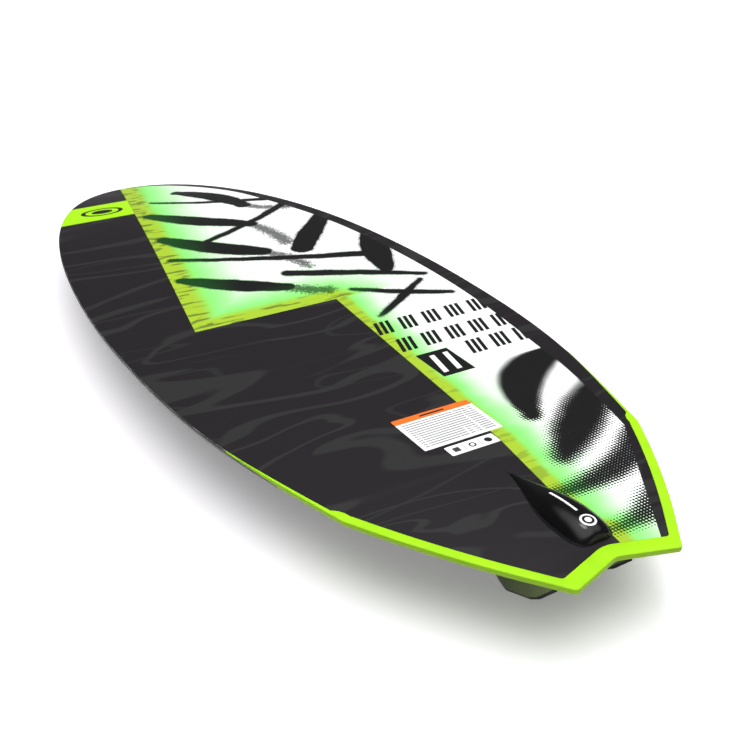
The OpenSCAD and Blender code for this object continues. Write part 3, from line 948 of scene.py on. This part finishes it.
def deck_look():
    look = Look("deck_print", Specular_IOR_Level=0.07)
    x, y = look.axes()
    wobble = look.noise(22, 3) - 0.5
    grit = look.noise(400, 1)
    mottle = look.noise(55, 3)

    # how far a point lies inside the graphic
    front = (x - FRONT_POINT[0]) * FRONT_INWARD[0] + (y - FRONT_POINT[1]) * FRONT_INWARD[1]
    past_x = x - CORNER[0]
    past_y = (CORNER[1] - y).most(0.0)
    cross = (past_x * past_x + past_y * past_y).power(0.5)
    forward = x.ramp(CORNER[0] - 0.2, CORNER[0] + 0.2)
    depth = forward * front.least(cross) + (1.0 - forward) * rear_split(x, y)
    soft_depth = (depth + wobble * 26.0) / (forward * 0.45 + 0.55)

    # a charcoal rim is left along the right side
    rim = half_width(x) + y
    rim_w = 15.0 + x.ramp(1190, 1060) * 9.0 - x.ramp(420, 320) * 4.0
    printed = depth.ramp(-0.3, 0.3) * (rim - rim_w).ramp(-0.3, 0.3)

    node = look.tree.nodes.new("ShaderNodeCombineXYZ")
    look.tree.links.new((x + wobble * 9.0).socket, node.inputs[0])
    look.tree.links.new((y + (mottle - 0.5) * 7.0).socket, node.inputs[1])
    point = node.outputs[0]
    ink = brush_ink(look, x, point, grit).most(halftone_ink(look, x, y, point, grit))
    ink_tone = look.mix(soft_depth.ramp(95.0, 20.0) * 0.75, INK, DARK_GREEN)
    art = look.mix(ink, glowing_paper(look, depth, soft_depth, wobble, forward), ink_tone)

    # rows of plain bars, and a dark block with two bars on it
    bars = greatest(slanted_bars(x, y, row) for row in TEXT_ROWS)
    x0, x1, y0, y1 = SIZE_BLOCK
    block = x.within(x0, x1) * y.within(y0, y1)
    slant = y + (x - 418.0) * 0.18
    block_bars = x.within(x0 + 9, x1 - 9) * slant.within(-96, -89).most(slant.within(-77, -70))
    art = look.mix(bars.most(block), art, INK)
    art = look.mix(block_bars, art, PAPER)

    ground = nose_stripe(look, x, y, front, camouflage(look))
    look.colour(look.mix(printed, ground, art))
    look.roughness(look.noise(14, 3) * 0.12 + 0.36 + printed * 0.05)
    look.bump(look.noise(420, 2) + look.noise(60, 2) * 0.6, 0.00006, 0.5)
    return look.material


# ---- Other materials ----


def bumper_look():
    look = Look("bumper_foam", Specular_IOR_Level=0.2)
    cells = look.noise(900, 3)
    patches = look.noise(30, 3)
    tone = look.mix(patches.ramp(0.35, 0.7), LIME, srgb(154, 216, 12))
    tone = look.mix(cells.ramp(0.62, 0.75) * 0.25, tone, srgb(130, 190, 12))
    # Painted shade: faces below the deck's height, the bumper's sides, are coloured the darker lime
    side = look.height().ramp(-0.3, -1.4)
    look.colour(look.mix(side, tone, SHADED_SIDE_LIME))
    look.roughness(patches * 0.15 + 0.42)
    look.bump(cells, 0.00008, 0.6)
    return look.material


def rail_look():
    look = Look("rail_abs", Specular_IOR_Level=0.5, Coat_Weight=0.2, Coat_Roughness=0.2)
    grain = look.noise(260, 3)
    scuffs = look.noise(90, 4, (0.2, 1, 3), 2.0).ramp(0.66, 0.72)
    look.colour(look.mix(scuffs * 0.4, srgb(30, 30, 31), srgb(62, 62, 64)))
    look.roughness(grain * 0.2 + 0.28)
    look.bump(grain, 0.00005, 0.5)
    return look.material


def base_look():
    look = Look("base_gloss", Specular_IOR_Level=0.5, Coat_Weight=0.4, Coat_Roughness=0.08)
    flow = look.noise(3.0, 1.5, (0.55, 1.5, 1), 4.4, 1.1)
    tone = look.mix(flow.within(0.5, 0.57, 0.008), CHARCOAL, SMOKE)
    scratches = look.noise(70, 4, (0.12, 2.2, 1), 9.0).ramp(0.67, 0.7)
    look.colour(look.mix(scratches * 0.2, tone, GREY))
    look.roughness(look.noise(20, 3) * 0.15 + 0.2 + scratches * 0.2)
    look.bump(look.noise(300, 2), 0.00005, 0.4)
    return look.material


def ridge_look():
    look = Look("ridge_moulding", Specular_IOR_Level=0.2)
    x, y = look.axes()
    wobble = look.noise(40, 2) - 0.5
    split = rear_split(x, y)
    tone = look.mix((split + wobble * 8.0).ramp(-2.0, 2.0), CHARCOAL, DARK_GREEN)
    tone = look.mix((split + wobble * 14.0).ramp(2.0, 12.0) * 0.4, tone, GREEN)
    look.colour(tone)
    look.roughness(look.noise(80, 2) * 0.12 + 0.28)
    look.bump(look.noise(420, 2), 0.00006, 0.5)
    return look.material


def cover_look():
    look = Look("gloss_dome", Specular_IOR_Level=0.2, Coat_Weight=0.1, Coat_Roughness=0.03)
    x, y = look.axes()
    dx = x - 62.0
    dy = y + 1.0
    reach = (dx * dx + dy * dy).power(0.5)
    ring = (reach - 7.0).size().ramp(1.3, 0.9)
    dot = reach.ramp(3.6, 3.2)
    bar = x.within(78, 118) * dy.size().ramp(1.5, 1.1)
    smudge = look.noise(35, 4)
    tone = look.mix(smudge.ramp(0.4, 0.8), srgb(8, 8, 9), srgb(15, 15, 17))
    look.colour(look.mix(ring.most(dot).most(bar), tone, PAPER))
    look.roughness(smudge * 0.1 + 0.06)
    look.bump(look.noise(120, 1), 0.00002, 0.3)
    return look.material


def info_look():
    """A white label with lines of grey dashes under an orange band with a dark bar."""
    look = Look("label_coated", Specular_IOR_Level=0.4)
    x, y = look.axes()
    rear, front, half = INFO_LABEL
    words = look.noise(170, 2, (0.05, 1, 1), 2.0).ramp(0.36, 0.4)
    line = (x - rear).part(4.4).within(1.0, 3.1, 0.25)
    body = x.within(rear + 5, front - 14) * y.size().ramp(half - 4.5, half - 5.5)
    head = x.within(front - 10.5, front + 1)
    bar = x.within(front - 6.5, front - 3.5) * y.size().ramp(16.5, 15.5)
    tone = look.mix(line * words * body * 0.8, srgb(248, 248, 248), srgb(95, 96, 100))
    tone = look.mix(head, tone, ORANGE)
    tone = look.mix(bar, tone, INK)
    look.colour(tone)
    look.roughness(look.noise(90, 2) * 0.15 + 0.3)
    look.bump(look.noise(500, 2), 0.00003, 0.4)
    return look.material


def icon_look():
    """A white label in three fields, with a disc, a ring and a square."""
    look = Look("label_small", Specular_IOR_Level=0.4)
    x, y = look.axes()
    dx = x - (ICON_LABEL[0] + ICON_LABEL[1]) / 2

    def reach(centre_y):
        return (dx * dx + (y - centre_y) * (y - centre_y)).power(0.5)

    rules = (y + 10.0).size().ramp(0.6, 0.3).most((y - 10.0).size().ramp(0.6, 0.3))
    rules = rules * dx.size().ramp(6.4, 6.0)
    disc = reach(-20.0).ramp(4.6, 4.2)
    ring = (reach(0.0) - 3.4).size().ramp(1.1, 0.8)
    square = dx.size().most((y - 20.0).size()).ramp(4.2, 3.9)
    marks = disc.most(ring).most(square)
    tone = look.mix(rules, srgb(248, 248, 248), srgb(140, 140, 144))
    look.colour(look.mix(marks, tone, INK))
    look.roughness(look.noise(90, 2) * 0.15 + 0.3)
    look.bump(look.noise(500, 2), 0.00003, 0.4)
    return look.material


def fin_look():
    look = Look("fin_smoke", IOR=1.49, Transmission_Weight=0.06, Specular_IOR_Level=0.15)
    cloud = look.noise(18, 3)
    look.colour(look.mix(cloud.ramp(0.3, 0.75), srgb(68, 82, 32), srgb(84, 100, 46)))
    look.roughness(look.noise(120, 2) * 0.15 + 0.3)
    look.bump(look.noise(200, 2), 0.00004, 0.4)
    return look.material


def fin_edge_look():
    look = Look("fin_edge", Specular_IOR_Level=0.2)
    grain = look.noise(240, 2)
    look.colour(look.mix(grain.ramp(0.3, 0.7), srgb(8, 8, 9), srgb(16, 16, 17)))
    look.roughness(grain * 0.2 + 0.3)
    look.bump(grain, 0.00004, 0.4)
    return look.material


def grained_look(name, dark, light, scale, rough, stretch=(1, 1, 1), metallic=0.0, depth=0.00005):
    look = Look(name, Metallic=metallic)
    grain = look.noise(scale, 3, stretch)
    look.colour(look.mix(grain.ramp(0.3, 0.7), dark, light))
    look.roughness(grain * 0.2 + rough)
    look.bump(grain, depth, 0.5)
    return look.material


def paint(piece, material):
    """Puts a material in every slot of an object."""
    if not piece.data.materials:
        piece.data.materials.append(material)
    for slot in piece.material_slots:
        slot.material = material


def paint_fin(foot, plate, smoke, edge_black):
    """Smoke-tinted plate with a dark edge, on a dark foot."""
    paint(foot, edge_black)
    paint(plate, smoke)
    plate.data.materials.append(edge_black)
    ring_size = len(rounded(FIN_SHAPE, FIN_RADII))
    for index, face in enumerate(plate.data.polygons):
        if EDGE_LOOPS[0] * ring_size <= index < EDGE_LOOPS[1] * ring_size:
            face.material_index = 1


# ---- Build ----

topsheet = make_topsheet()
running_base = make_base()
rail = make_rail()
bumper = make_bumper()
ridge = make_ridge()
cover = make_cover()
info = make_label("info_plate", INFO_LABEL, "info_label")
icons = make_label("icon_plate", ICON_LABEL, "icon_label")

paint(topsheet, deck_look())
paint(running_base, base_look())
paint(rail, rail_look())
paint(bumper, bumper_look())
paint(ridge, ridge_look())
paint(cover, cover_look())
paint(info, info_look())
paint(icons, icon_look())

smoke = fin_look()
edge_black = fin_edge_look()
for name, side, body, node in (
    ("keel_left", 1, "left_fin", "fin_left"),
    ("keel_right", -1, "right_fin", "fin_right"),
):
    paint_fin(*make_fin(name, side, body, node), smoke, edge_black)

steel = grained_look("screw_steel", srgb(150, 152, 156), srgb(190, 192, 196), 900, 0.22, (1, 1, 4), 1.0)
brass = grained_look("insert_brass", srgb(170, 130, 60), srgb(205, 165, 85), 700, 0.25, (1, 1, 5), 1.0)
foam = grained_look("core_foam", srgb(225, 218, 200), srgb(240, 235, 220), 900, 0.6, depth=0.0002)
wood = grained_look("stringer_wood", srgb(150, 105, 62), srgb(205, 165, 112), 60, 0.5, (0.08, 1, 3))
glass = grained_look("laminate_glass", srgb(170, 185, 172), srgb(205, 215, 205), 1200, 0.35)
block = grained_look("block_plastic", srgb(32, 33, 36), srgb(52, 53, 57), 500, 0.4)
CARRIED = {
    "fin_screws_left": steel, "fin_screws_right": steel,
    "thread_inserts_left": brass, "thread_inserts_right": brass,
    "core_left": foam, "core_right": foam, "stringer": wood,
    "deck_laminate": glass, "base_laminate": glass,
    "fin_block_left": block, "fin_block_right": block,
}
for node, material in CARRIED.items():
    paint(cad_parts[node], material)

# ---- Floor, light and camera ----

FLOOR_HALF = 9.0
FLOOR_GLOW = 0.22
KEY_PLACE = (0.1, -0.6, 2.4)
KEY_AIM = (-0.1, 0, 0)
KEY_SIZE = 0.75
KEY_POWER = 12
# Turn about the vertical, tilt and roll in degrees, place in metres, focal length in millimetres
CAMERA_TURN = 239.44
CAMERA_TILT = 27.61
CAMERA_ROLL = -0.16
CAMERA_PLACE = (-1.2276, 0.5975, 0.6932)
CAMERA_LENS = 53.51


def make_floor():
    """A white floor that glows a little, so that the shadow stays light."""
    corners = [(x * FLOOR_HALF, y * FLOOR_HALF, 0) for x, y in ((-1, -1), (1, -1), (1, 1), (-1, 1))]
    mesh = bpy.data.meshes.new("floor")
    mesh.from_pydata(corners, [], [(0, 1, 2, 3)])
    floor = bpy.data.objects.new("floor", mesh)
    bpy.context.scene.collection.objects.link(floor)
    look = Look("floor_paper", Roughness=0.9, Specular_IOR_Level=0.0)
    look.colour(look.mix(look.noise(3, 2), (0.92, 0.9, 0.935), (0.94, 0.92, 0.955)))
    look.shader.inputs["Emission Color"].default_value = (1, 1, 1, 1)
    look.shader.inputs["Emission Strength"].default_value = FLOOR_GLOW
    paint(floor, look.material)


def make_light(name, place, aim, size, power):
    light = bpy.data.lights.new(name, "AREA")
    light.shape = "DISK"
    light.size = size
    light.energy = power
    lamp = bpy.data.objects.new(name, light)
    lamp.location = place
    lamp.rotation_euler = (Vector(aim) - Vector(place)).to_track_quat("-Z", "Y").to_euler()
    bpy.context.scene.collection.objects.link(lamp)


def make_sky():
    """A soft sky: bright overhead, and dim beyond the nose so that the deck's reflections stay dark."""
    world = bpy.data.worlds.new("studio")
    world.use_nodes = True
    tree = world.node_tree
    split = tree.nodes.new("ShaderNodeSeparateXYZ")
    tree.links.new(tree.nodes.new("ShaderNodeTexCoord").outputs["Generated"], split.inputs[0])
    up = Field(tree, split.outputs[2])
    behind = Field(tree, split.outputs[0]) * -0.75 + Field(tree, split.outputs[1]) * 0.45
    strength = up.ramp(0.62, 0.95) * 2.8 + up.ramp(0.0, -0.25) * 0.5 + behind.ramp(0.0, 0.6) * 0.15 + 0.13
    background = tree.nodes["Background"]
    background.inputs[0].default_value = (1, 1, 1, 1)
    tree.links.new(strength.socket, background.inputs[1])
    bpy.context.scene.world = world


def make_camera():
    turn = math.radians(CAMERA_TURN)
    tilt = math.radians(CAMERA_TILT)
    roll = math.radians(CAMERA_ROLL)
    level = math.cos(tilt)
    back = Vector((math.sin(turn) * level, -math.cos(turn) * level, math.sin(tilt)))
    right = Vector((math.cos(turn), math.sin(turn), 0))
    up = back.cross(right)
    rolled = math.cos(roll) * right + math.sin(roll) * up
    up = math.cos(roll) * up - math.sin(roll) * right
    data = bpy.data.cameras.new("camera")
    data.lens = CAMERA_LENS
    data.sensor_width = 36
    data.clip_start = 0.01
    camera = bpy.data.objects.new("camera", data)
    turned = Matrix((rolled, up, back)).transposed().to_4x4()
    camera.matrix_world = Matrix.Translation(CAMERA_PLACE) @ turned
    bpy.context.scene.collection.objects.link(camera)
    bpy.context.scene.camera = camera


make_floor()
make_light("key", KEY_PLACE, KEY_AIM, KEY_SIZE, KEY_POWER)
make_sky()
bpy.context.scene.view_settings.view_transform = "Standard"
make_camera()
